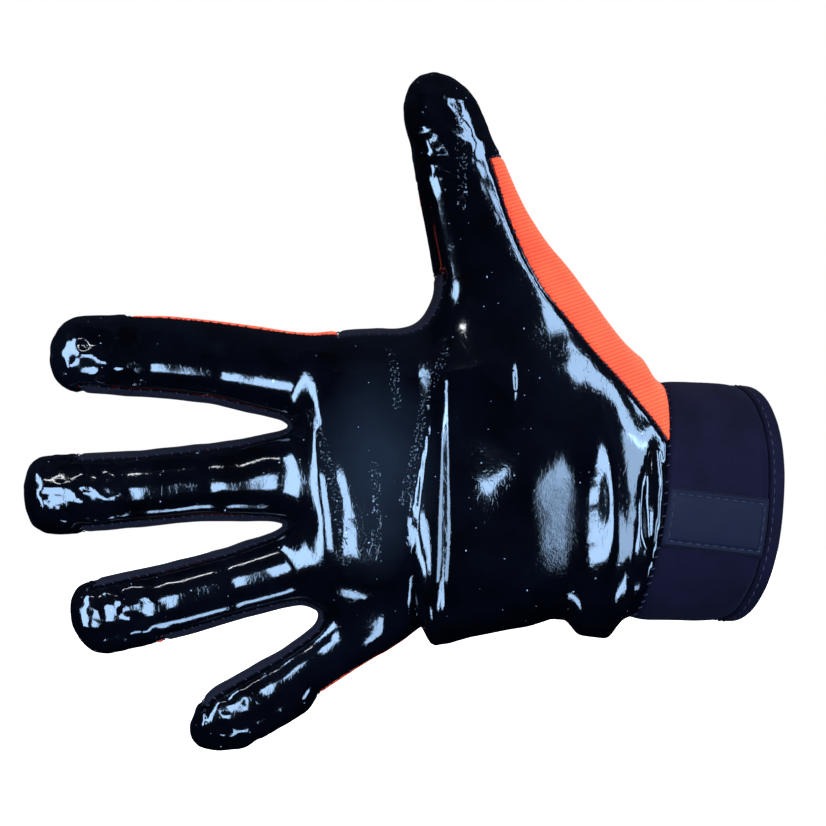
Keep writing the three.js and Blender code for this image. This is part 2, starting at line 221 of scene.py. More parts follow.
def digit_field(digit, x, y, z):
    share, across = on_digit(digit, x, z)
    half = digit["breadth"] / 2
    top = digit["top"](share) * half
    low = digit["low"](share) * half
    deep = y - mid_depth(x, z)
    half_depth = np.where(deep < 0, digit["front"](share), digit["back"](share)) * digit["depth"] / 2
    cap_start = digit["end"] * digit["length"] - digit["cap"]
    tip = np.clip((share * digit["length"] - cap_start) / digit["cap"], 0, None)
    from_middle = across - (top - low) / 2
    field = rounded_box(
        from_middle, (top + low) / 2, deep, half_depth, tip, digit["cap"], digit_squareness)
    before_root = -share * digit["length"] - root_overlap
    return -melt(-field, -before_root, root_fillet)


# Stations of the palm from the cuff to the crotches. Each slants from high_at on the thumb's side to
# low_at on the little finger's side, shares of the palm's length, with its depth in front and
# behind as shares of the palm's depth. The slant runs over station_height, up from station_foot.
station_foot = -38
station_height = 84
palm_rows = [
    dict(high_at=-0.3, low_at=-0.3, front=0.81, back=0.81, squareness=2.3),
    dict(high_at=-0.08, low_at=-0.08, front=0.81, back=0.81, squareness=2.3),
    dict(high_at=0.0, low_at=0.01, front=0.715, back=0.8, squareness=2.35),
    dict(high_at=0.06, low_at=0.13, front=0.73, back=0.66, squareness=2.5),
    dict(high_at=0.14, low_at=0.2, front=0.64, back=0.6, squareness=2.7),
    dict(high_at=0.257, low_at=0.3, front=0.62, back=0.56, squareness=2.7),
    dict(high_at=0.426, low_at=0.47, front=0.59, back=0.53, squareness=2.7),
    dict(high_at=0.56, low_at=0.6, front=0.58, back=0.52, squareness=2.7),
    dict(high_at=0.723, low_at=0.744, front=0.565, back=0.5, squareness=2.7),
    dict(high_at=0.839, low_at=0.802, front=0.555, back=0.48, squareness=2.7),
    dict(high_at=0.98, low_at=0.871, front=0.538, back=0.42, squareness=2.6),
    dict(high_at=1.06, low_at=0.93, front=0.46, back=0.34, squareness=2.4),
]
# The palm's edges, as shares of its breadth above and below the opening's centre.
high_edge_rows = [
    (-0.3, 0.4), (-0.1, 0.41), (-0.02, 0.445), (0.02, 0.46), (0.06, 0.48), (0.1, 0.52),
    (0.15, 0.555), (0.22, 0.55), (0.3, 0.53), (0.43, 0.55), (0.6, 0.575), (0.84, 0.54), (1.0, 0.47),
    (1.1, 0.4),
]
low_edge_rows = [
    (-0.3, -0.362), (-0.2, -0.378), (-0.1, -0.366), (0.04, -0.362), (0.07, -0.4), (0.1, -0.434),
    (0.15, -0.428), (0.19, -0.42), (0.225, -0.372), (0.27, -0.368), (0.34, -0.394), (0.5, -0.427),
    (0.57, -0.45), (0.61, -0.452), (0.63, -0.365), (0.655, -0.26), (0.68, -0.345), (0.75, -0.41),
    (0.9, -0.36), (1.1, -0.28),
]
high_edge = eased(*zip(*high_edge_rows), softness=0.03)
low_edge = eased(*zip(*low_edge_rows), softness=0.012)
palm_curves = {
    key: eased(range(len(palm_rows)), [row[key] for row in palm_rows], softness=0.6)
    for key in ("front", "back", "squareness")
}


def palm_field(x, y, z):
    along = (wrist[0] - x) / palm_length
    rise = np.clip((z - station_foot) / station_height, 0, 1)
    station = 0
    for near, beyond in zip(palm_rows, palm_rows[1:]):
        start = near["low_at"] + rise * (near["high_at"] - near["low_at"])
        end = beyond["low_at"] + rise * (beyond["high_at"] - beyond["low_at"])
        station = station + np.clip((along - start) / (end - start), 0, 1)
    high = high_edge(along) * palm_breadth
    low = low_edge(along) * palm_breadth
    deep = y - mid_depth(x, z)
    front, back, squareness = [palm_curves[key](station) for key in ("front", "back", "squareness")]
    half_depth = np.where(deep < 0, front, back) * palm_depth
    tip = np.clip((along - palm_cap_start) * palm_length / palm_cap, 0, None)
    from_middle = z - (high + low) / 2
    return rounded_box(from_middle, (high - low) / 2, deep, half_depth, tip, palm_cap, squareness)


def in_cuff_frame(x, y, z):
    """Distance in from the opening, towards the back of the hand, and towards the thumb."""
    return tuple(x * axis[0] + y * axis[1] + z * axis[2] for axis in (-cuff_axis, cuff_deep, cuff_up))


def beyond_wrist_seam(x, y, z):
    """Distance past the slanted wrist seam, towards the fingers."""
    inwards, deep, up = in_cuff_frame(x, y, z)
    return inwards + up * seam_slant + deep * seam_lean - cuff_length


def hand_field(x, y, z):
    """The whole form. Near the wrist seam it passes over into the cuff's own section."""
    palm_and_thumb = melt(palm_field(x, y, z), digit_field(digits["thumb"], x, y, z), thumb_fillet)
    fingers = None
    for name in ("index", "middle", "ring", "little"):
        finger = melt(palm_and_thumb, digit_field(digits[name], x, y, z), finger_fillet)
        fingers = finger if fingers is None else np.minimum(fingers, finger)
    _, deep, up = in_cuff_frame(x, y, z)
    sleeve = rounded_box(up, wrist_half_breadth, deep, wrist_half_depth, 0, 1, wrist_squareness)
    past_seam = beyond_wrist_seam(x, y, z)
    form = fingers + (sleeve - fingers) * smooth_step(past_seam, seam_blend, 0)
    return np.maximum(form, -cut_before_seam - past_seam)


def slope_of(field, x, y, z, step=0.4):
    """Gradient of a field at points."""
    return np.stack([
        (field(x + step, y, z) - field(x - step, y, z)) / (2 * step),
        (field(x, y + step, z) - field(x, y - step, z)) / (2 * step),
        (field(x, y, z + step) - field(x, y, z - step)) / (2 * step),
    ], axis=-1)


def skin_of(field, low, high, cell):
    """Points and triangles of the surface where the field is nought."""
    axes = [np.arange(start, end + cell, cell) for start, end in zip(low, high)]
    value = field(axes[0][:, None, None], axes[1][None, :, None], axes[2][None, None, :])
    counts = tuple(size - 1 for size in value.shape)
    total = np.zeros(counts + (3,))
    crossings = np.zeros(counts)

    def pick(offsets):
        return value[tuple(slice(offset, offset + count) for offset, count in zip(offsets, counts))]

    for axis in range(3):
        first, second = [other for other in range(3) if other != axis]
        for shift in ((0, 0), (0, 1), (1, 0), (1, 1)):
            start = [0, 0, 0]
            start[first], start[second] = shift
            end = list(start)
            end[axis] = 1
            near, beyond = pick(start), pick(end)
            crossed = (near < 0) != (beyond < 0)
            share = np.where(crossed, near / np.where(crossed, near - beyond, 1), 0)
            for k in range(3):
                total[..., k] += crossed * (start[k] + (share if k == axis else 0))
            crossings += crossed
    active = crossings > 0
    number = np.full(counts, -1)
    number[active] = np.arange(active.sum())
    where = np.argwhere(active)
    points = where + total[active] / crossings[active][:, None]
    points = np.array([a[0] for a in axes]) + points * cell
    quads = []
    for axis in range(3):
        first, second = (axis + 1) % 3, (axis + 2) % 3
        near = np.take(value, range(value.shape[axis] - 1), axis=axis)
        beyond = np.take(value, range(1, value.shape[axis]), axis=axis)
        crossed = np.argwhere((near < 0) != (beyond < 0))
        inside = near[tuple(crossed.T)] < 0
        corners = []
        for shift in ((0, 0), (-1, 0), (-1, -1), (0, -1)):
            cell_at = crossed.copy()
            cell_at[:, first] += shift[0]
            cell_at[:, second] += shift[1]
            corners.append(number[tuple(cell_at.T)])
        quad = np.stack(corners, axis=1)
        quad[~inside] = quad[~inside][:, ::-1]
        quads.append(quad)
    quads = np.concatenate(quads)
    for _ in range(3):
        x, y, z = points.T
        slope = slope_of(field, x, y, z)
        away = field(x, y, z)[:, None] / np.maximum((slope ** 2).sum(1, keepdims=True), 0.04)
        points = points - slope * np.clip(away, -cell, cell)
    return points, np.concatenate([quads[:, [0, 1, 2]], quads[:, [0, 2, 3]]])


skin_cell = 1.0
skin_low = (-224, -48, -82)
skin_high = (-8, 32, 136)
skin_points, skin_triangles = skin_of(hand_field, skin_low, skin_high, skin_cell)


# The palm panel
# One piece of stretch cloth with a wet-looking rubber coat on its face: the palm, the fronts of
# the fingers and the thumb, wrapped back over each tip. It is sewn face to face and turned, so its
# edges roll in at every seam, and the coat creases where the hand bends.

seam_forward = 2.4
palm_wall = 1.6
seam_roll = 0.55
seam_roll_breadth = 1.7
seam_groove = 0.22
side_strip_breadth = 10.5
inner_wrap = 5
knit_line = 4.6
web_breadth = 15
# Where the strips and the gusset begin and end, as shares of their digits' lengths, and how far in
# the gusset and the wrapped tips reach, as shares of their breadths.
strip_start, strip_end = 0.02, 0.9
web_start, web_end = 0.2, 0.5
web_index_end = 0.13
web_inset = 0.3
tip_reach = 0.66
thumb_seam_end = 0.9
thumb_seam = eased(
    (-0.3, -0.05, 0.07, 0.18, 0.28, 0.37, 0.47, 0.58, 0.7, 1.1),
    (3.0, 2.5, 2.09, 1.64, 1.31, 0.97, 0.8, 0.74, 0.8, 0.8),
)


def strip_zone(first, second):
    """Field of the strip between two fingers: positive on their facing sides and in the crotch."""
    def zone(x, y, z):
        first_share, first_across = on_digit(first, x, z)
        second_share, second_across = on_digit(second, x, z)
        ends = np.minimum(
            (strip_end - first_share) * first["length"], (strip_end - second_share) * second["length"])
        starts = np.minimum(
            (first_share - strip_start) * first["length"], (second_share - strip_start) * second["length"])
        beside = np.minimum(-first_across, second_across)
        band = side_strip_breadth / 2 - np.abs(y - mid_depth(x, z))
        return np.minimum.reduce([ends, starts, beside, band])

    return zone


def web_zone(x, y, z):
    """Field of the gusset in the crotch of the thumb."""
    index, thumb = digits["index"], digits["thumb"]
    index_share, index_across = on_digit(index, x, z)
    thumb_share, thumb_across = on_digit(thumb, x, z)
    beside = np.minimum(
        index_across - web_inset * index["breadth"], -web_inset * thumb["breadth"] - thumb_across)
    ends = np.minimum(
        (web_index_end - index_share) * index["length"], (web_end - thumb_share) * thumb["length"])
    starts = (thumb_share - web_start) * thumb["length"]
    band = web_breadth / 2 - np.abs(y - mid_depth(x, z))
    return np.minimum.reduce([beside, ends, starts, band])


strip_zones = {
    "index_middle_strip": strip_zone(digits["index"], digits["middle"]),
    "middle_ring_strip": strip_zone(digits["middle"], digits["ring"]),
    "ring_little_strip": strip_zone(digits["ring"], digits["little"]),
    "thumb_web_gusset": web_zone,
}


def tips_zone(x, y, z):
    """Field of the tips that the coated palm wraps all round."""
    zones = []
    for digit in digits.values():
        share, across = on_digit(digit, x, z)
        beyond = share * digit["length"] - (digit["length"] - digit["wrap"])
        zones.append(np.minimum(beyond, tip_reach * digit["breadth"] - np.abs(across)))
    return np.maximum.reduce(zones)


def coated_zone(x, y, z):
    """Field of all that the coated palm covers, with the strips' places."""
    thumb = digits["thumb"]
    share, across = on_digit(thumb, x, z)
    outer = np.minimum(
        across - thumb_seam(share) * thumb["breadth"] / 2, (thumb_seam_end - share) * thumb["length"])
    # On the thumb's inner side the coat reaches further round towards the back.
    on_outer_half = smooth_step(share, 0.35, 0.55) * smooth_step(1.3 - share, 0, 0.2)
    wrapped = inner_wrap * smooth_step(-across, 3, 9) * on_outer_half
    # Along the top of the index finger it stops short, and the knit shows as a thin line.
    index_share, index_across = on_digit(digits["index"], x, z)
    short = knit_line * smooth_step(index_across, 1, 6) * smooth_step(index_share, -0.2, 0.0)
    in_front = mid_depth(x, z) - seam_forward + wrapped - short - y
    return np.maximum(np.minimum(in_front, -outer), tips_zone(x, y, z))


def sewn_in(x, y, z):
    return np.maximum.reduce([zone(x, y, z) for zone in strip_zones.values()])


def palm_zone(x, y, z):
    return np.minimum.reduce([coated_zone(x, y, z), -sewn_in(x, y, z), beyond_wrist_seam(x, y, z)])


def clipped(points, triangles, values):
    """The part of a mesh where values are positive, cut cleanly across its triangles."""
    positive = values > 0
    kept = positive[triangles]
    whole = triangles[kept.all(1)]
    mixed = triangles[kept.any(1) & ~kept.all(1)]
    edges = {}
    extra_points, extra_sources, faces = [], [], []

    def cut(a, b):
        key = (a, b) if a < b else (b, a)
        if key not in edges:
            share = values[key[0]] / (values[key[0]] - values[key[1]])
            edges[key] = len(points) + len(extra_points)
            extra_points.append(points[key[0]] + (points[key[1]] - points[key[0]]) * share)
            extra_sources.append((key[0], key[1], share))
        return edges[key]

    for a, b, c in mixed:
        while not (positive[a] and not positive[c]):
            a, b, c = b, c, a
        if positive[b]:
            p, q = cut(b, c), cut(c, a)
            faces += [(a, b, p), (a, p, q)]
        else:
            faces.append((a, cut(a, b), cut(c, a)))
    all_points = np.concatenate([points, np.array(extra_points).reshape(-1, 3)])
    all_faces = np.concatenate([whole, np.array(faces, int).reshape(-1, 3)])
    used = np.unique(all_faces)
    renumber = np.full(len(all_points), -1)
    renumber[used] = np.arange(len(used))
    return all_points[used], renumber[all_faces]


def largest_body(points, triangles):
    """The biggest connected piece of a mesh, without the offcuts."""
    label = np.arange(len(points))
    while True:
        low = label[triangles].min(1)
        new = label.copy()
        for k in range(3):
            np.minimum.at(new, triangles[:, k], low)
        new = new[new]
        if (new == label).all():
            break
        label = new
    sizes = np.bincount(label[triangles[:, 0]], minlength=len(points))
    kept = triangles[label[triangles[:, 0]] == sizes.argmax()]
    used = np.unique(kept)
    renumber = np.full(len(points), -1)
    renumber[used] = np.arange(len(used))
    return points[used], renumber[kept]


def open_edges(triangles):
    """Directed edges with a face on one side only."""
    edges = np.concatenate([triangles[:, [0, 1]], triangles[:, [1, 2]], triangles[:, [2, 0]]])
    size = triangles.max() + 1
    forward = edges[:, 0] * size + edges[:, 1]
    backward = edges[:, 1] * size + edges[:, 0]
    return edges[~np.isin(forward, backward)]


def rim_between(edge, count):
    """Triangles from the open edge of a face to that of its lining, count points further on."""
    return np.concatenate([
        np.stack([edge[:, 1], edge[:, 0], edge[:, 0] + count], axis=1),
        np.stack([edge[:, 1], edge[:, 0] + count, edge[:, 1] + count], axis=1),
    ])


# Folds of the coated palm, as rows along each fold's line: where it is, how high it stands (negative
# for a crease), and its half breadth to the left, towards the fingertips, and to the right.
fold_columns = ("x", "z", "height", "left", "right")
rounded_folds = [
    # Creases at the roots of the fingers
    [(-92, 48, -0.2, 1.4, 1.4), (-98, 28, -0.2, 1.4, 1.4),
     (-102.5, 13, -0.2, 1.4, 1.4), (-105, 0, 0, 1.4, 1.4)],
    [(-133, 30, -0.3, 2.2, 2.2), (-127, 20, -0.35, 2.2, 2.2),
     (-122.5, 2, -0.35, 2.2, 2.2), (-121, -18, -0.2, 2.2, 2.2)],
    # The fleshy side of the palm below the little finger
    [(-124, -14, 0.2, 16, 11), (-106, -21, 1.2, 19, 13), (-70, -23, 1.6, 13, 13), (-46, -20, 0.6, 11, 11)],
    # The worn slope of the thumb's mound, between a ridge and a hollow
    [(-71.5, 26, 0.4, 14, 6), (-69.5, 8, 1.1, 15, 7), (-65.5, -12, 1.1, 16, 7), (-61.5, -26, 0.3, 16, 6)],
    [(-57, 26, -0.3, 6, 8), (-53.5, 8, -0.9, 7, 9), (-50.5, -10, -0.9, 7, 9), (-48, -24, -0.3, 6, 8)],
    # The crest below the mound of the thumb
    [(-48, 32, 0, 2.4, 1.8), (-45, 21, 0.28, 2.4, 1.8), (-43.5, 8, 0.34, 2.4, 1.7),
     (-42, -8, 0.28, 2.2, 1.6), (-41, -19, 0, 2.2, 1.6)],
    # Long shallow folds from the thumb down into the palm
    [(-86, 62, 0, 3.2, 3.2), (-80, 52, -0.5, 3.2, 3.2), (-72, 42, -0.5, 3.2, 3.2), (-66, 30, 0, 3.2, 3.2)],
]
flat_topped_folds = [
    # The deep fold across the palm's middle, which widens towards the little finger
    [(-92.8, 36.5, 0.45, 1.05, 1.35), (-95.1, 18.3, 1.15, 2.6, 3.45), (-97.4, -3.3, 1.85, 4.1, 5.7),
     (-97.7, -14, 1.9, 4.2, 5.8), (-97.2, -31.4, 1.4, 3.1, 3.9), (-97, -44, 1.1, 2.8, 3.4)],
    # The pillow beside the wrist seam
    [(-31.0, 16, 0.5, 1.5, 1.4), (-31.2, 9, 1.2, 3.1, 3.0), (-31.2, 1, 1.35, 3.6, 3.4),
     (-31, -8, 1.0, 2.8, 2.7), (-31, -14, 0.5, 1.4, 1.3)],
]
# A shallow crease across each finger at its two knuckles, given by its place and depth.
knuckle_creases = ((0.47, 0.22), (0.7, 0.2))
crease_reach = 9
crease_breadth = 2.6
for name in ("index", "middle", "ring", "little"):
    digit = digits[name]
    for share, depth in knuckle_creases:
        x, z = [digit["root"][k] + digit["ahead"][k] * share * digit["length"] for k in (0, 1)]
        to_side, up_side = digit["ahead"][1] * crease_reach, -digit["ahead"][0] * crease_reach
        rounded_folds.append([
            (x + k * to_side, z + k * up_side, -depth, crease_breadth, crease_breadth) for k in (1, 0, -1)])
# The power that a fold falls off with: higher powers give a flat top with steep sides.
rounded_power = 2
flat_topped_power = 4
fold_powers = [(fold, rounded_power) for fold in rounded_folds]
fold_powers += [(fold, flat_topped_power) for fold in flat_topped_folds]


def fold_height(x, z):
    total = 0
    for fold, power in fold_powers:
        nearest, to_left, height, left, right = 1e9, 0, 0, 1, 1
        for start, end in zip(fold, fold[1:]):
            near, beyond = dict(zip(fold_columns, start)), dict(zip(fold_columns, end))
            run_x, run_z = beyond["x"] - near["x"], beyond["z"] - near["z"]
            reached = (x - near["x"]) * run_x + (z - near["z"]) * run_z
            along = np.clip(reached / (run_x ** 2 + run_z ** 2), 0, 1)
            off_x = x - near["x"] - along * run_x
            off = np.hypot(off_x, z - near["z"] - along * run_z)
            closer = off < nearest
            nearest = np.where(closer, off, nearest)
            to_left = np.where(closer, off_x < 0, to_left)
            height, left, right = [
                np.where(closer, near[key] + (beyond[key] - near[key]) * along, value)
                for key, value in (("height", height), ("left", left), ("right", right))]
        total = total + height * np.exp(-(nearest / np.where(to_left, left, right)) ** power)
    return total


# Fine creases where the coat has puckered into small beads that catch the light.
beaded_creases = [
    [(-132.3, 28.5), (-127.8, 19.5), (-123.3, 1.5), (-121.2, -16.5)],
    [(-91.8, 46), (-97.8, 31.5), (-103.8, 1.5)],
    [(-112.5, 12), (-112, -12)],
    [(-108, 46), (-106, 30)],
    [(-88, 118), (-87, 88)],
]


def beading(x, z):
    """How near a point is to a beaded crease: 1 on it, 0 away from it."""
    near = 0
    for line in beaded_creases:
        for (ax, az), (bx, bz) in zip(line, line[1:]):
            run_x, run_z = bx - ax, bz - az
            along = np.clip(((x - ax) * run_x + (z - az) * run_z) / (run_x ** 2 + run_z ** 2), 0, 1)
            off = np.hypot(x - ax - along * run_x, z - az - along * run_z)
            near = np.maximum(near, smooth_step(off, 1.3, 0.4))
    return near


lattice = np.random.RandomState(11).rand(4, 64, 64, 64).astype(np.float32) * 2 - 1


def wander(x, y, z, size, layer=0):
    """Smooth seeded noise between -1 and 1, with bumps of about that size."""
    cells, shares = [], []
    for value in (x, y, z):
        scaled = value / size + 900.37
        whole = np.floor(scaled)
        part = scaled - whole
        cells.append(whole.astype(int) % 64)
        shares.append(part * part * (3 - 2 * part))
    total = 0
    for corner in range(8):
        picks, weight = [], 1
        for k in range(3):
            step = corner >> k & 1
            picks.append((cells[k] + step) % 64)
            weight = weight * (shares[k] if step else 1 - shares[k])
        total = total + lattice[layer][tuple(picks)] * weight
    return total


def outer_part(x, z):
    """1 on the outer part of every digit, where the coat is gathered in small puckers."""
    parts = []
    for digit in digits.values():
        share, across = on_digit(digit, x, z)
        parts.append(smooth_step(share, 0.64, 0.8) * smooth_step(np.abs(across), 16, 13))
    return np.maximum.reduce(parts)


def palm_relief(x, y, z):
    """How far the coated palm stands out from the hand's form."""
    in_front = smooth_step(mid_depth(x, z) - y, 2, 9)
    folded = fold_height(x, z) * in_front
    rumpled = 0.16 * wander(x, y, z, 10, 0) + 0.05 * wander(x, y, z, 4.2, 1)
    puckered = 0.3 * wander(x, y, z, 3.6, 2) + 0.22 * wander(x, y, z, 2.3, 3)
    rumpled = rumpled + outer_part(x, z) * puckered
    roll = -seam_roll * (1 - smooth_step(palm_zone(x, y, z), 0, seam_roll_breadth))
    return folded + rumpled + roll


def unit(vectors):
    return vectors / np.linalg.norm(vectors, axis=-1, keepdims=True)


def panel_of(zone, relief, wall):
    """Points, normals, triangles and panel edge of one sewn panel, as a closed shell."""
    values = zone(*skin_points.T) - seam_groove
    points, triangles = clipped(skin_points, skin_triangles, values)
    points, triangles = largest_body(points, triangles)
    form_normals = unit(slope_of(hand_field, *points.T))
    height = relief(*points.T)
    slope = slope_of(relief, *points.T, step=0.25)
    slope -= (slope * form_normals).sum(1, keepdims=True) * form_normals
    normals = unit(form_normals - slope)
    face = points + form_normals * height[:, None]
    lining = points - form_normals * wall
    edge = open_edges(triangles)
    count = len(points)
    rim = rim_between(edge, count)
    all_triangles = np.concatenate([triangles, triangles[:, ::-1] + count, rim])
    corner_normals = np.concatenate([normals[triangles], -form_normals[triangles[:, ::-1]]])
    shell = np.concatenate([face, lining])
    corners = shell[rim]
    rim_normals = np.cross(corners[:, 1] - corners[:, 0], corners[:, 2] - corners[:, 0])
    rim_normals /= np.maximum(np.linalg.norm(rim_normals, axis=1, keepdims=True), 1e-9)
    corner_normals = np.concatenate([corner_normals, np.repeat(rim_normals[:, None], 3, axis=1)])
    return shell, all_triangles, corner_normals, (face[edge], form_normals[edge].mean(1))


def piece_from(name, points, triangles, corner_normals, material, slot, *nodes):
    """A piece of the glove, riding on its body and standing for its solids."""
    mesh = bpy.data.meshes.new(name)
    mesh.vertices.add(len(points))
    mesh.vertices.foreach_set("co", (points / 1000).astype(np.float32).ravel())
    mesh.loops.add(len(triangles) * 3)
    mesh.loops.foreach_set("vertex_index", triangles.astype(np.int32).ravel())
    mesh.polygons.add(len(triangles))
    mesh.polygons.foreach_set("loop_start", np.arange(0, len(triangles) * 3, 3, dtype=np.int32))
    mesh.update(calc_edges=True)
    mesh.polygons.foreach_set("use_smooth", np.ones(len(triangles), bool))
    if corner_normals is not None:
        mesh.normals_split_custom_set(corner_normals.reshape(-1, 3).tolist())
    mesh.materials.append(material)
    piece = bpy.data.objects.new(name, mesh)
    bpy.context.collection.objects.link(piece)
    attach(piece, "root")
    if nodes:
        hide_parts(*nodes)
    return piece


class Finish:
    """A material made of nodes, whose patterns are sized in millimetres on the object."""

    def __init__(self, name):
        self.material = bpy.data.materials.new(name)
        self.material.use_nodes = True
        self.nodes = self.material.node_tree.nodes
        self.links = self.material.node_tree.links
        self.shader = self.nodes["Principled BSDF"]
        place = self.nodes.new("ShaderNodeTexCoord")
        self.place = self.node("ShaderNodeVectorMath", operation="SCALE")
        self.links.new(place.outputs["Object"], self.place.inputs[0])
        self.place.inputs["Scale"].default_value = 1000

    def node(self, kind, **settings):
        node = self.nodes.new(kind)
        for key, value in settings.items():
            setattr(node, key, value)
        return node

    def feed(self, socket, value):
        if isinstance(value, bpy.types.NodeSocket):
            self.links.new(value, socket)
        else:
            socket.default_value = value

    def noise(self, size, detail=2.0, roughness=0.5, stretch=None):
        """Noise with bumps of about that size in millimetres."""
        node = self.node("ShaderNodeTexNoise")
        self.links.new(self.stretched(stretch), node.inputs["Vector"])
        node.inputs["Scale"].default_value = 1 / size
        node.inputs["Detail"].default_value = detail
        node.inputs["Roughness"].default_value = roughness
        return node.outputs["Fac"]

    def stretched(self, stretch=None, turn=(0, 0, 0)):
        if stretch is None and turn == (0, 0, 0):
            return self.place.outputs[0]
        node = self.node("ShaderNodeMapping")
        self.links.new(self.place.outputs[0], node.inputs["Vector"])
        node.inputs["Rotation"].default_value = turn
        node.inputs["Scale"].default_value = stretch or (1, 1, 1)
        return node.outputs[0]

    def math(self, operation, first, second=None):
        node = self.node("ShaderNodeMath", operation=operation)
        self.feed(node.inputs[0], first)
        if second is not None:
            self.feed(node.inputs[1], second)
        return node.outputs[0]

    def ranged(self, value, from_low, from_high, to_low, to_high):
        node = self.node("ShaderNodeMapRange")
        self.feed(node.inputs["Value"], value)
        ends = {"From Min": from_low, "From Max": from_high, "To Min": to_low, "To Max": to_high}
        for key, number in ends.items():
            self.feed(node.inputs[key], number)
        return node.outputs["Result"]

    def distance_from(self, centre, stretch):
        """Distance in millimetres from a place, which is given in the stretched measure."""
        node = self.node("ShaderNodeVectorMath", operation="DISTANCE")
        self.links.new(self.stretched(stretch), node.inputs[0])
        node.inputs[1].default_value = centre
        return node.outputs["Value"]

    def mixed(self, share, first, second):
        node = self.node("ShaderNodeMix", data_type="RGBA")
        self.feed(node.inputs["Factor"], share)
        self.feed(node.inputs["A"], first)
        self.feed(node.inputs["B"], second)
        return node.outputs["Result"]

    def bump(self, height, distance, strength=1.0, below=None):
        """Relief of that many millimetres."""
        node = self.node("ShaderNodeBump")
        self.feed(node.inputs["Height"], height)
        node.inputs["Distance"].default_value = distance / 1000
        self.feed(node.inputs["Strength"], strength)
        if below is not None:
            self.links.new(below, node.inputs["Normal"])
        return node.outputs["Normal"]

    def set(self, **values):
        for key, value in values.items():
            self.feed(self.shader.inputs[key.replace("_", " ")], value)
        return self.material


coat = Finish("coated palm cloth")
pebbles = coat.noise(1.5, detail=3.0, roughness=0.6)
grain = coat.noise(0.42, detail=2.0)
creases = coat.noise(3.4, detail=2.0, stretch=(1.7, 1, 0.8))
crease_lines = coat.math("ABSOLUTE", coat.math("SUBTRACT", creases, 0.5))
# A patch low in the palm is worn rough, and a grey haze lies before the roots of the fingers.
from_worn = coat.distance_from((-112, -17, -5), (1.9, 0.6, 1))
from_haze = coat.distance_from((-147, -5, 9), (1.3, 0.2, 0.8))
worn = coat.ranged(coat.math("ADD", from_worn, coat.math("MULTIPLY", pebbles, 10)), 12, 26, 1, 0)
relief = coat.math("ADD", pebbles, coat.math("MULTIPLY", grain, coat.ranged(worn, 0, 1, 0.05, 0.7)))
bead_lines = coat.node("ShaderNodeAttribute", attribute_name="beaded")
bead_heads = coat.ranged(coat.noise(0.8, detail=0.0), 0.58, 0.72, 0, 1)
beads = coat.math("MULTIPLY", bead_heads, bead_lines.outputs["Fac"])
crease_bump = coat.bump(coat.ranged(crease_lines, 0, 0.05, 0, 1), 0.012, 0.6)
bead_bump = coat.bump(beads, 0.3, 1.0, below=crease_bump)
coat_bump = coat.bump(relief, 0.2, coat.ranged(worn, 0, 1, 0.085, 0.9), below=bead_bump)
dust = coat.noise(14, detail=4.0)
# Rare pale blue-grey specks in the coat's colour: some are dust, and some are painted glints.
dust_and_glint_specks = coat.ranged(coat.noise(0.9, detail=0.0), 0.865, 0.885, 0, 1)
haze = coat.ranged(coat.math("ADD", from_haze, coat.math("MULTIPLY", dust, 16)), 14, 34, 0.7, 0)
dusty = coat.ranged(dust, 0.35, 0.7, 0, 1)
dark_coat = coat.mixed(dusty, (0.0004, 0.0005, 0.001, 1), (0.001, 0.0014, 0.003, 1))
hazy_coat = coat.mixed(haze, dark_coat, (0.011, 0.0145, 0.021, 1))
roughened = coat.math("ADD", worn, coat.math("MULTIPLY", dust, 0.35))
coat_material = coat.set(
    Base_Color=coat.mixed(dust_and_glint_specks, hazy_coat, (0.28, 0.32, 0.4, 1)),
    Roughness=coat.ranged(roughened, 0.1, 1.2, 0.08, 0.16),
    Specular_IOR_Level=0.6,
    Coat_Weight=0.3,
    Coat_Roughness=0.05,
    Normal=coat_bump,
)
palm_shell, palm_triangles, palm_normals, palm_edge = panel_of(palm_zone, palm_relief, palm_wall)
palm_panel = piece_from(
    "palm_panel_cloth", palm_shell, palm_triangles, palm_normals, coat_material, "coated_palm",
    "palm_panel")
bead_marks = palm_panel.data.attributes.new("beaded", "FLOAT", "POINT")
bead_marks.data.foreach_set("value", beading(palm_shell[:, 0], palm_shell[:, 2]).astype(np.float32))


# The back panel
# Orange-red ribbed knit, cut in one piece for the back of the hand, the backs of the digits and
# the outer side of the thumb. Its ribs run across the thumb's seam.

rib_pitch = 1.1
back_wall = 1.5


def back_zone(x, y, z):
    return np.minimum.reduce([-coated_zone(x, y, z), -sewn_in(x, y, z), beyond_wrist_seam(x, y, z)])


def back_relief(x, y, z):
    """The knit sags a little on the hand and rolls in at its seams."""
    sag = 0.3 * wander(x, y, z, 12, 2)
    roll = -seam_roll * (1 - smooth_step(back_zone(x, y, z), 0, seam_roll_breadth))
    return sag + roll


knit = Finish("ribbed knit")
thumb_lean = math.radians(digit_sizes["thumb"]["lean"])
ribs = knit.node("ShaderNodeTexWave", wave_type="BANDS", bands_direction="X", wave_profile="SIN")
knit.links.new(knit.stretched(turn=(0, math.pi - thumb_lean, 0)), ribs.inputs["Vector"])
ribs.inputs["Scale"].default_value = math.pi / 10 / rib_pitch
ribs.inputs["Distortion"].default_value = 0.6
ribs.inputs["Detail"].default_value = 1.5
ribs.inputs["Detail Scale"].default_value = 0.35
knit_loops = knit.noise(0.5, detail=1.0, stretch=(1, 1, 2))
fuzz = knit.noise(0.22, detail=2.0)
patches = knit.noise(16, detail=3.0)
yarn = knit.math("ADD", ribs.outputs["Fac"], knit.math("MULTIPLY", knit_loops, 0.45))
knit_bump = knit.bump(knit.math("ADD", yarn, knit.math("MULTIPLY", fuzz, 0.25)), 0.2, 0.8)
# The knit's colour is darker in the rib valleys and between the loops, which is painted shade, and it also
# varies at random in large patches of tone.
painted_rib_shade_and_tone = knit.math("ADD", knit.math("MULTIPLY", yarn, 0.25), knit.math("MULTIPLY", patches, 0.4))
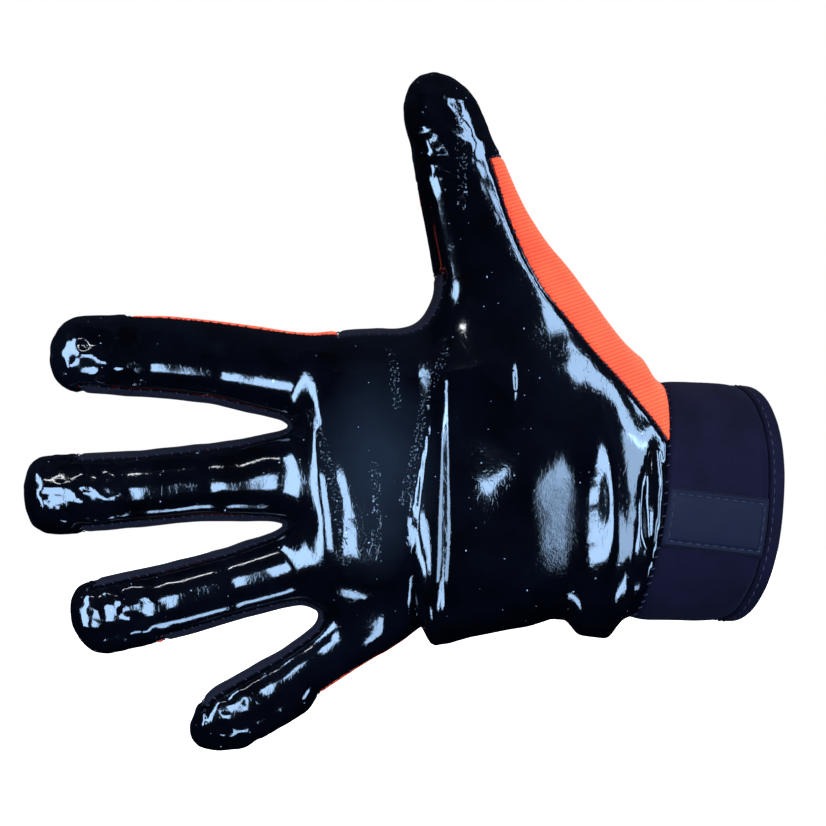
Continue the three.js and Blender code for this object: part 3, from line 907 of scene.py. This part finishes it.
knit_material = knit.set(
    Base_Color=knit.mixed(
        knit.ranged(painted_rib_shade_and_tone, 0.15, 0.6, 0, 1), (0.72, 0.02, 0.004, 1), (1.0, 0.085, 0.02, 1)),
    Roughness=knit.ranged(fuzz, 0.3, 0.7, 0.72, 0.9),
    Specular_IOR_Level=0.3,
    Sheen_Weight=0.45,
    Sheen_Roughness=0.4,
    Sheen_Tint=(1.0, 0.4, 0.2, 1),
    Normal=knit_bump,
)
back_shell, back_triangles, back_normals, back_edge = panel_of(back_zone, back_relief, back_wall)
piece_from(
    "back_panel_knit", back_shell, back_triangles, back_normals, knit_material, "knit_back",
    "back_panel")


# The side strips and the thumb's gusset
# Matte stretch cloth between the fingers and in the thumb's crotch, a strip to each gap, sewn
# between the palm and the back.

strip_wall = 1.4
weave_pitch = 0.55
stretch_cloth = Finish("stretch cloth")
weave_over = stretch_cloth.node("ShaderNodeTexWave", wave_type="BANDS", bands_direction="DIAGONAL")
stretch_cloth.links.new(stretch_cloth.place.outputs[0], weave_over.inputs["Vector"])
weave_over.inputs["Scale"].default_value = math.pi / 10 / weave_pitch
weave_over.inputs["Distortion"].default_value = 1.2
strip_grain = stretch_cloth.noise(0.4, detail=2.0)
strip_patches = stretch_cloth.noise(9, detail=3.0)
strip_height = stretch_cloth.math("ADD", weave_over.outputs["Fac"], strip_grain)
strip_material = stretch_cloth.set(
    Base_Color=stretch_cloth.mixed(strip_patches, (0.003, 0.0026, 0.007, 1), (0.008, 0.007, 0.013, 1)),
    Roughness=stretch_cloth.ranged(strip_grain, 0.3, 0.7, 0.62, 0.8),
    Specular_IOR_Level=0.12,
    Sheen_Weight=0.02,
    Sheen_Roughness=0.45,
    Sheen_Tint=(0.6, 0.65, 0.9, 1),
    Normal=stretch_cloth.bump(strip_height, 0.12, 0.8),
)


def side_strip(name, gap_zone):
    def zone(x, y, z):
        return np.minimum(gap_zone(x, y, z), beyond_wrist_seam(x, y, z))

    def relief(x, y, z):
        roll = -seam_roll * (1 - smooth_step(gap_zone(x, y, z), 0, seam_roll_breadth))
        return roll + 0.15 * wander(x, y, z, 5, 3)

    shell, triangles, normals, _ = panel_of(zone, relief, strip_wall)
    piece_from(name + "_cloth", shell, triangles, normals, strip_material, "side_cloth", name)


for name, gap_zone in strip_zones.items():
    side_strip(name, gap_zone)


# The cuff
# A sleeve of thin foam faced with navy cloth, about 3 mm thick, that slips over the wrist with no
# fastening. It dips where it is sewn to the hand and swells a little between its seams.

cuff_wall = 2.6
cuff_swell = 0.5
cuff_edge = 0.8
cuff_edge_sharpness = 14
hem_breadth = 5
seam_gap = 0.3
around = 180
ripple_half_breadth = 36
ripple_half_depth = 24


def opening_at(up, deep):
    """Where the opening's edge is: it dips in at the two narrow sides."""
    return opening_inset * (1 - (deep / wrist_half_depth) ** 2) - up * opening_slant


def wrist_seam_at(up, deep):
    """Where the seam with the hand is, as a distance in from the opening's centre."""
    return cuff_length - up * seam_slant - deep * seam_lean


def cuff_section(angle, out=0):
    """Places round the cuff, that far out from its surface: towards the back, towards the thumb."""
    power = 2 / wrist_squareness
    deep = np.sign(np.sin(angle)) * np.abs(np.sin(angle)) ** power * (wrist_half_depth + out)
    up = np.sign(np.cos(angle)) * np.abs(np.cos(angle)) ** power * (wrist_half_breadth + out)
    return deep, up


def cuff_points(inwards, angle, out):
    """Points round the cuff, at distances in from the opening and out from its surface."""
    deep, up = cuff_section(angle, out)
    return -cuff_axis * inwards[..., None] + cuff_deep * deep[..., None] + cuff_up * up[..., None]


def even_angles(count):
    """Angles round the cuff whose points are evenly spaced along its section."""
    fine = np.linspace(0, 2 * math.pi, 7201)
    deep, up = cuff_section(fine)
    run = np.concatenate([[0], np.cumsum(np.hypot(np.diff(deep), np.diff(up)))])
    return np.interp(np.linspace(0, run[-1], count, endpoint=False), run, fine)


def ring_of(profile, start_at, end_at, ripple):
    """A ring round the cuff from a closed profile of rows: share of the way from start_at to
    end_at, and distance out from the cuff's own surface. The lining has no ripple."""
    share = np.array([row[0] for row in profile])[:, None]
    out = np.array([row[1] for row in profile])[:, None]
    angle = even_angles(around)[None, :]
    deep, up = cuff_section(angle)
    first = start_at(up, deep)
    last = end_at(up, deep)
    inwards = first + (last - first) * share
    out = out + np.where(out > -1, ripple(inwards, angle), 0)
    points = cuff_points(inwards, angle, out)
    index = np.arange(len(profile) * around).reshape(len(profile), around)
    following = np.roll(index, -1, axis=1)
    below = np.roll(index, -1, axis=0)
    below_following = np.roll(following, -1, axis=0)
    triangles = np.concatenate([
        np.stack([index, below, below_following], axis=-1).reshape(-1, 3),
        np.stack([index, below_following, following], axis=-1).reshape(-1, 3),
    ])
    points = points.reshape(-1, 3)
    corners = points[triangles]
    volume = (corners[:, 0] * np.cross(corners[:, 1], corners[:, 2])).sum()
    if volume < 0:
        triangles = triangles[:, ::-1]
    return points, triangles


def sleeve_profile(steps=22):
    """Rounded at both ends, swelling between them, with the lining inside."""
    shares = np.linspace(0, 1, steps)
    skin = []
    for share in shares:
        swell = cuff_swell * math.sin(math.pi * share) ** 0.6
        at_ends = math.exp(-share * cuff_edge_sharpness) + math.exp(-(1 - share) * cuff_edge_sharpness)
        skin.append((share, swell - cuff_edge * at_ends))
    lining = [(share, -cuff_wall) for share in shares[::-2]]
    return skin + [(1.0, -cuff_wall / 2)] + lining + [(0.0, -cuff_wall / 2)]


def cuff_ripple(inwards, angle):
    x, y, z = np.cos(angle) * ripple_half_breadth, np.sin(angle) * ripple_half_depth, inwards
    return 0.28 * wander(x, y, z, 14, 1) + 0.1 * wander(x, y, z, 5, 2)


foam_cloth = Finish("cuff cloth")
cuff_weave = foam_cloth.noise(0.5, detail=2.0, stretch=(1, 1, 1.6))
cuff_wear = foam_cloth.noise(11, detail=4.0)
cuff_pile = foam_cloth.noise(0.2, detail=1.0)
cuff_shade = foam_cloth.ranged(cuff_wear, 0.3, 0.7, 0, 1)
cuff_material = foam_cloth.set(
    Base_Color=foam_cloth.mixed(cuff_shade, (0.0022, 0.0015, 0.006, 1), (0.004, 0.0028, 0.0105, 1)),
    Roughness=foam_cloth.ranged(cuff_weave, 0.3, 0.7, 0.6, 0.8),
    Specular_IOR_Level=0.05,
    Sheen_Weight=0.02,
    Sheen_Roughness=0.5,
    Sheen_Tint=(0.6, 0.65, 1.0, 1),
    Normal=foam_cloth.bump(foam_cloth.math("ADD", cuff_weave, cuff_pile), 0.14, 0.8),
)
sleeve_points, sleeve_triangles = ring_of(
    sleeve_profile(),
    lambda up, deep: opening_at(up, deep) + hem_breadth + seam_gap,
    lambda up, deep: wrist_seam_at(up, deep) - seam_gap / 2,
    cuff_ripple,
)
piece_from(
    "wrist_cuff_cloth", sleeve_points, sleeve_triangles, None, cuff_material, "cuff_cloth",
    "wrist_cuff")


# The hem
# The cuff's edge at the opening, turned in and sewn down, so it is a rounded roll a little
# thicker than the sleeve.

hem_proud = 0.2
hem_steps = 28
hem_middle_out = (hem_proud - cuff_wall) / 2
hem_half_wall = (hem_proud + cuff_wall) / 2
hem_profile = []
# The powers square off the section of the roll.
for step in range(hem_steps):
    turn = step / hem_steps * 2 * math.pi
    share = 0.5 - 0.5 * math.copysign(abs(math.cos(turn)) ** 0.55, math.cos(turn))
    out = math.copysign(abs(math.sin(turn)) ** 0.7, math.sin(turn))
    hem_profile.append((share, hem_middle_out + out * hem_half_wall))
hem_points, hem_triangles = ring_of(
    hem_profile,
    opening_at,
    lambda up, deep: opening_at(up, deep) + hem_breadth,
    lambda inwards, angle: 0.6 * cuff_ripple(inwards, angle),
)
piece_from(
    "cuff_hem_cloth", hem_points, hem_triangles, None, cuff_material, "cuff_cloth", "cuff_hem")


# The tab
# A rectangle of smoother cloth sewn flat on the palm side of the cuff, from the wrist seam to the
# hem, with its edges turned under. It is bare.

tab_breadth = 17.3
tab_drop = 5.2
tab_slope = 0.0705
tab_middle = 26.5
tab_thickness = 1.0
tab_padding = 0.12
tab_sunk = 0.35
tab_line = 1.7
tab_line_groove = 0.35
tab_line_breadth = 0.5


def tab_patch():
    """Points of the tab's face and of its underside, in rows from the hem to the wrist seam."""
    steps_along, steps_up = 60, 50
    low, high = -tab_breadth / 2, tab_breadth / 2
    from_centre, share = np.meshgrid(np.linspace(low, high, steps_up), np.linspace(0, 1, steps_along))
    # The tab slopes as it runs in and its ends follow two slanted seams, so its places are found in
    # a few rounds, from a first guess at the hem.
    inwards = hem_breadth + 0 * share
    for _ in range(4):
        up = from_centre - tab_drop + (inwards - tab_middle) * tab_slope
        flatness = 1 - np.abs(up / wrist_half_breadth) ** wrist_squareness
        deep = -wrist_half_depth * flatness ** (1 / wrist_squareness)
        near = opening_at(up, deep) + hem_breadth + 2 * seam_gap
        beyond = wrist_seam_at(up, deep) - 2 * seam_gap
        inwards = near + (beyond - near) * share
    to_edge = np.minimum.reduce([from_centre - low, high - from_centre, inwards - near, beyond - inwards])
    across = np.stack([up, deep], axis=-1)
    outwards = unit(np.stack([
        np.sign(up) * np.abs(up / wrist_half_breadth) ** (wrist_squareness - 1) / wrist_half_breadth,
        -np.abs(deep / wrist_half_depth) ** (wrist_squareness - 1) / wrist_half_depth,
    ], axis=-1))
    angle = np.arctan2(deep / ripple_half_depth, up / ripple_half_breadth)
    cuff_out = cuff_ripple(inwards, angle) + cuff_swell
    raised = tab_thickness * smooth_step(to_edge, 0, 0.9) + tab_padding * smooth_step(to_edge, 2.0, 5.0)
    stitched = -tab_line_groove * np.exp(-((to_edge - tab_line) / tab_line_breadth) ** 2)

    def placed(out):
        moved = across + outwards * out[..., None]
        return -cuff_axis * inwards[..., None] + cuff_up * moved[..., :1] + cuff_deep * moved[..., 1:]

    return placed(cuff_out + raised + stitched), placed(cuff_out - tab_sunk)


tab_face, tab_underside = tab_patch()
rows, columns = tab_face.shape[:2]
index = np.arange(rows * columns).reshape(rows, columns)
quads = np.stack([index[:-1, :-1], index[1:, :-1], index[1:, 1:], index[:-1, 1:]], axis=-1).reshape(-1, 4)
tab_triangles = np.concatenate([quads[:, [0, 1, 2]], quads[:, [0, 2, 3]]])
tab_points = tab_face.reshape(-1, 3)
corners = tab_points[tab_triangles]
facing = (np.cross(corners[:, 1] - corners[:, 0], corners[:, 2] - corners[:, 0]) @ cuff_deep).mean()
if facing > 0:
    tab_triangles = tab_triangles[:, ::-1]
count = len(tab_points)
tab_rim = rim_between(open_edges(tab_triangles), count)
tab_cloth = Finish("tab cloth")
tab_weave = tab_cloth.noise(0.35, detail=2.0)
tab_wear = tab_cloth.noise(8, detail=4.0)
tab_material = tab_cloth.set(
    Base_Color=tab_cloth.mixed(tab_wear, (0.0028, 0.0027, 0.0082, 1), (0.005, 0.0048, 0.0135, 1)),
    Roughness=tab_cloth.ranged(tab_wear, 0.3, 0.7, 0.5, 0.65),
    Specular_IOR_Level=0.07,
    Sheen_Weight=0.02,
    Normal=tab_cloth.bump(tab_weave, 0.06, 0.7),
)
piece_from(
    "wrist_tab_cloth",
    np.concatenate([tab_points, tab_underside.reshape(-1, 3)]),
    np.concatenate([tab_triangles, tab_triangles[:, ::-1] + count, tab_rim]),
    None, tab_material, "tab_cloth", "wrist_tab")


# The stitching
# Dark polyester thread. Slanted overlock stitches close the seams between the panels, and short
# straight stitches hold down the hem and the tab.

thread_radius = 0.17
seam_pitch = 2.4
seam_stitch = 1.7
seam_stitch_slant = 0.55
hem_pitch = 2.9
hem_stitch = 2.1
stitch_lift = 0.3
seam_stitch_lift = 0.4
hem_line = 1.2
hem_stitch_out = 0.14
cuff_girth = 190


def stitches(centres, along, out, length, lift):
    """Small arched threads, each sunk into the cloth at both ends."""
    sides = 6
    rows = [(-1.0, 0.3), (-0.8, 0.85), (-0.3, 1.0), (0.3, 1.0), (0.8, 0.85), (1.0, 0.3)]
    turns = np.arange(sides) * 2 * math.pi / sides
    across = np.cross(along, out)
    points = []
    for at, thickness in rows:
        middle = centres + along * (at * length / 2) + out * (lift * (1 - at * at) - lift / 2)
        for turn in turns:
            reach = thread_radius * thickness
            points.append(middle + across * (reach * math.cos(turn)) + out * (reach * math.sin(turn)))
    points = np.stack(points, axis=1)
    faces = []
    for row in range(len(rows) - 1):
        for k in range(sides):
            a, b = row * sides + k, row * sides + (k + 1) % sides
            faces += [(a, b, a + sides), (b, b + sides, a + sides)]
    last = (len(rows) - 1) * sides
    for k in range(1, sides - 1):
        faces += [(0, k + 1, k), (last, last + k, last + k + 1)]
    offsets = np.arange(len(centres))[:, None, None] * points.shape[1]
    return points.reshape(-1, 3), (np.array(faces)[None] + offsets).reshape(-1, 3)


def seam_stitches(edges, out):
    """Slanted stitches across a seam, spread evenly along the panel's edge."""
    middles = edges.mean(1)
    kept = []
    for number, middle in enumerate(middles):
        if not kept or np.linalg.norm(middles[kept] - middle, axis=1).min() > seam_pitch:
            kept.append(number)
    ahead = unit(edges[kept, 1] - edges[kept, 0])
    out = out[kept]
    across = unit(np.cross(ahead, out))
    slanted = unit(across + seam_stitch_slant * ahead)
    return stitches(middles[kept] + across * seam_groove, slanted, out, seam_stitch, seam_stitch_lift)


def hem_stitches():
    """Stitches in a ring round the cuff, along the inner edge of the hem."""
    angles = even_angles(round(cuff_girth / hem_pitch))
    deep, up = cuff_section(angles)
    inwards = opening_at(up, deep) + hem_breadth - hem_line
    centres = cuff_points(inwards, angles, hem_stitch_out)
    further_out = cuff_points(inwards, angles, hem_stitch_out + 1)
    ahead = unit(np.roll(centres, -1, axis=0) - np.roll(centres, 1, axis=0))
    return stitches(centres, ahead, unit(further_out - centres), hem_stitch, stitch_lift)


def tab_stitches():
    """Stitches round the tab, a little way in from its edges."""
    rows, columns = tab_face.shape[:2]
    edge_row = round(tab_line / (cuff_length - hem_breadth) * rows)
    edge_column = round(tab_line / tab_breadth * columns)
    border = [(row, edge_column) for row in range(edge_row, rows - edge_row)]
    border += [(rows - edge_row - 1, column) for column in range(edge_column, columns - edge_column)]
    border += [(row, columns - edge_column - 1) for row in range(rows - edge_row - 1, edge_row, -1)]
    border += [(edge_row, column) for column in range(columns - edge_column - 1, edge_column, -1)]
    path = np.array([tab_face[place] for place in border])
    run = np.concatenate([[0], np.cumsum(np.linalg.norm(np.diff(path, axis=0), axis=1))])
    stops = np.arange(0, run[-1], hem_pitch)
    centres = np.stack([np.interp(stops, run, path[:, k]) for k in range(3)], axis=1)
    beyond = np.stack([np.interp(stops + 0.6, run, path[:, k]) for k in range(3)], axis=1)
    before = np.stack([np.interp(stops - 0.6, run, path[:, k]) for k in range(3)], axis=1)
    out = np.broadcast_to(-cuff_deep, centres.shape)
    return stitches(centres, unit(beyond - before), out, hem_stitch, stitch_lift)


thread = Finish("thread")
twist = thread.noise(0.25, detail=1.0, stretch=(1, 1, 2))
thread_material = thread.set(
    Base_Color=thread.mixed(twist, (0.004, 0.004, 0.011, 1), (0.016, 0.016, 0.034, 1)),
    Roughness=thread.ranged(twist, 0.3, 0.7, 0.4, 0.6),
    Specular_IOR_Level=0.35,
    Normal=thread.bump(twist, 0.05, 0.8),
)
sewn = [seam_stitches(*palm_edge), seam_stitches(*back_edge), hem_stitches(), tab_stitches()]
thread_points, thread_triangles, count = [], [], 0
for points, triangles in sewn:
    thread_points.append(points)
    thread_triangles.append(triangles + count)
    count += len(points)
piece_from(
    "seam_stitches", np.concatenate(thread_points), np.concatenate(thread_triangles), None,
    thread_material, "thread")


# The floor, the light and the camera
# A pale floor well below the glove, which hangs on the hand that isn't shown. Pale blue softboxes
# to the right, to the left and below give the coat its streaks, and two dark cards shade the thumb.

floor_depth = 0.17
floor_reach = 3.0
floor_mesh = bpy.data.meshes.new("floor")
floor_mesh.from_pydata(
    [(x * floor_reach, y * floor_reach, -floor_depth) for x, y in ((-1, -1), (1, -1), (1, 1), (-1, 1))],
    [], [(0, 1, 2, 3)])
floor = bpy.data.objects.new("floor", floor_mesh)
bpy.context.collection.objects.link(floor)
floor_finish = Finish("pale floor")
floor_mottle = floor_finish.noise(60, detail=2.0)
floor_mesh.materials.append(floor_finish.set(
    Base_Color=floor_finish.mixed(floor_mottle, (0.86, 0.86, 0.86, 1), (0.9, 0.9, 0.9, 1)),
    Roughness=0.9,
    Specular_IOR_Level=0.0,
    Emission_Color=(1, 1, 1, 1),
    Emission_Strength=0.75,
))
floor.visible_glossy = False
floor.visible_diffuse = False

world = bpy.data.worlds.new("studio")
bpy.context.scene.world = world
world.use_nodes = True
sky = world.node_tree
ray = sky.nodes.new("ShaderNodeLightPath")
direction = sky.nodes.new("ShaderNodeTexCoord")
split = sky.nodes.new("ShaderNodeSeparateXYZ")
sky.links.new(direction.outputs["Generated"], split.inputs[0])
height = sky.nodes.new("ShaderNodeMapRange")
sky.links.new(split.outputs["Z"], height.inputs["Value"])
height.inputs["From Min"].default_value = -0.5
height.inputs["From Max"].default_value = 0.9


def sky_mix(share, first, second):
    mix = sky.nodes.new("ShaderNodeMix")
    mix.data_type = "RGBA"
    sky.links.new(share, mix.inputs["Factor"])
    for key, value in (("A", first), ("B", second)):
        if isinstance(value, tuple):
            mix.inputs[key].default_value = value
        else:
            sky.links.new(value, mix.inputs[key])
    return mix.outputs["Result"]


mirrored = sky_mix(height.outputs["Result"], (0.001, 0.0015, 0.004, 1), (0.014, 0.021, 0.04, 1))
spread = sky_mix(height.outputs["Result"], (0.02, 0.02, 0.04, 1), (1.8, 1.8, 1.8, 1))
lighting = sky_mix(ray.outputs["Is Glossy Ray"], spread, mirrored)
backdrop = sky_mix(ray.outputs["Is Camera Ray"], lighting, (1.0, 1.0, 1.0, 1))
sky.links.new(backdrop, sky.nodes["Background"].inputs["Color"])
sky.nodes["Background"].inputs["Strength"].default_value = 1.0


pale_blue = (0.43, 0.66, 1.0)
middle_of_glove = Vector((-0.10, -0.03, 0.02))


def softbox(
        name, side, rise, breadth, height, radiance,
        turn=0, colour=pale_blue, distance=0.8, aim=middle_of_glove):
    """A rectangle of light facing the glove. side and rise are the angles where the glove sees it,
    to the right of the camera and above it, breadth and height its size as angles, in degrees."""
    light = bpy.data.lights.new(name, "AREA")
    light.shape = "RECTANGLE"
    light.size = 2 * distance * math.tan(math.radians(breadth / 2))
    light.size_y = 2 * distance * math.tan(math.radians(height / 2))
    light.energy = radiance * math.pi * light.size * light.size_y
    light.color = colour
    side, rise = math.radians(side), math.radians(rise)
    towards = Vector((math.sin(side) * math.cos(rise), -math.cos(side) * math.cos(rise), math.sin(rise)))
    lamp = bpy.data.objects.new(name, light)
    lamp.location = Vector(aim) + towards * distance
    facing = (-towards).to_track_quat("-Z", "Y").to_matrix().to_4x4()
    lamp.rotation_euler = (facing @ Matrix.Rotation(math.radians(turn), 4, "Z")).to_euler()
    lamp.visible_camera = False
    bpy.context.collection.objects.link(lamp)


fingers_place = (-0.165, -0.03, 0.01)
softbox("finger softbox", -17, -11, 23, 16, 17, aim=fingers_place, distance=0.3)
softbox("mound softbox", 29, 23, 15, 34, 15, turn=33)
softbox("worn softbox", 26, -3, 18, 46, 11, aim=(-0.056, -0.03, -0.002), distance=0.22)
softbox("left softbox", -57, 4, 14, 46, 18, aim=(-0.098, -0.03, 0), distance=0.3)
softbox("right softbox", 57, -6, 16, 80, 15)
softbox("low softbox", 0, -50, 20, 12, 14, aim=(-0.145, -0.02, -0.055), distance=0.14)
softbox("line softbox", -20, 30, 16, 2, 24, colour=(0.9, 0.95, 1.0), aim=fingers_place, distance=0.3)

# Two dark cards between the thumb and the lights on the left keep the thumb black.
card_mesh = bpy.data.meshes.new("card")
card_mesh.from_pydata(
    [(-0.226, -0.053, 0.073), (-0.166, -0.145, 0.073), (-0.166, -0.145, 0.2), (-0.226, -0.053, 0.2),
     (-0.17, -0.16, 0.053), (-0.09, -0.16, 0.053), (-0.09, -0.055, 0.053), (-0.17, -0.055, 0.053)],
    [], [(0, 1, 2, 3), (4, 5, 6, 7)])
card = bpy.data.objects.new("card", card_mesh)
bpy.context.collection.objects.link(card)
card_finish = Finish("dark card")
card_grain = card_finish.noise(3, detail=2.0)
card_mesh.materials.append(card_finish.set(
    Base_Color=card_finish.mixed(card_grain, (0.002, 0.002, 0.002, 1), (0.004, 0.004, 0.004, 1)),
    Roughness=0.9,
    Specular_IOR_Level=0.0,
))
card.visible_camera = False

# The photograph is taken straight on to the palm, and its frame is a little wider than the glove.
half_view = 123.9
view_distance = 800
camera_data = bpy.data.cameras.new("camera")
camera_data.sensor_width = 36
camera_data.angle = 2 * math.atan(half_view / view_distance)
camera_data.clip_start = 0.01
camera = bpy.data.objects.new("camera", camera_data)
camera.location = (-0.1014, -0.810, 0.0276)
camera.rotation_euler = (math.pi / 2, 0, 0)
bpy.context.collection.objects.link(camera)
bpy.context.scene.camera = camera
bpy.context.scene.view_settings.view_transform = "Standard"
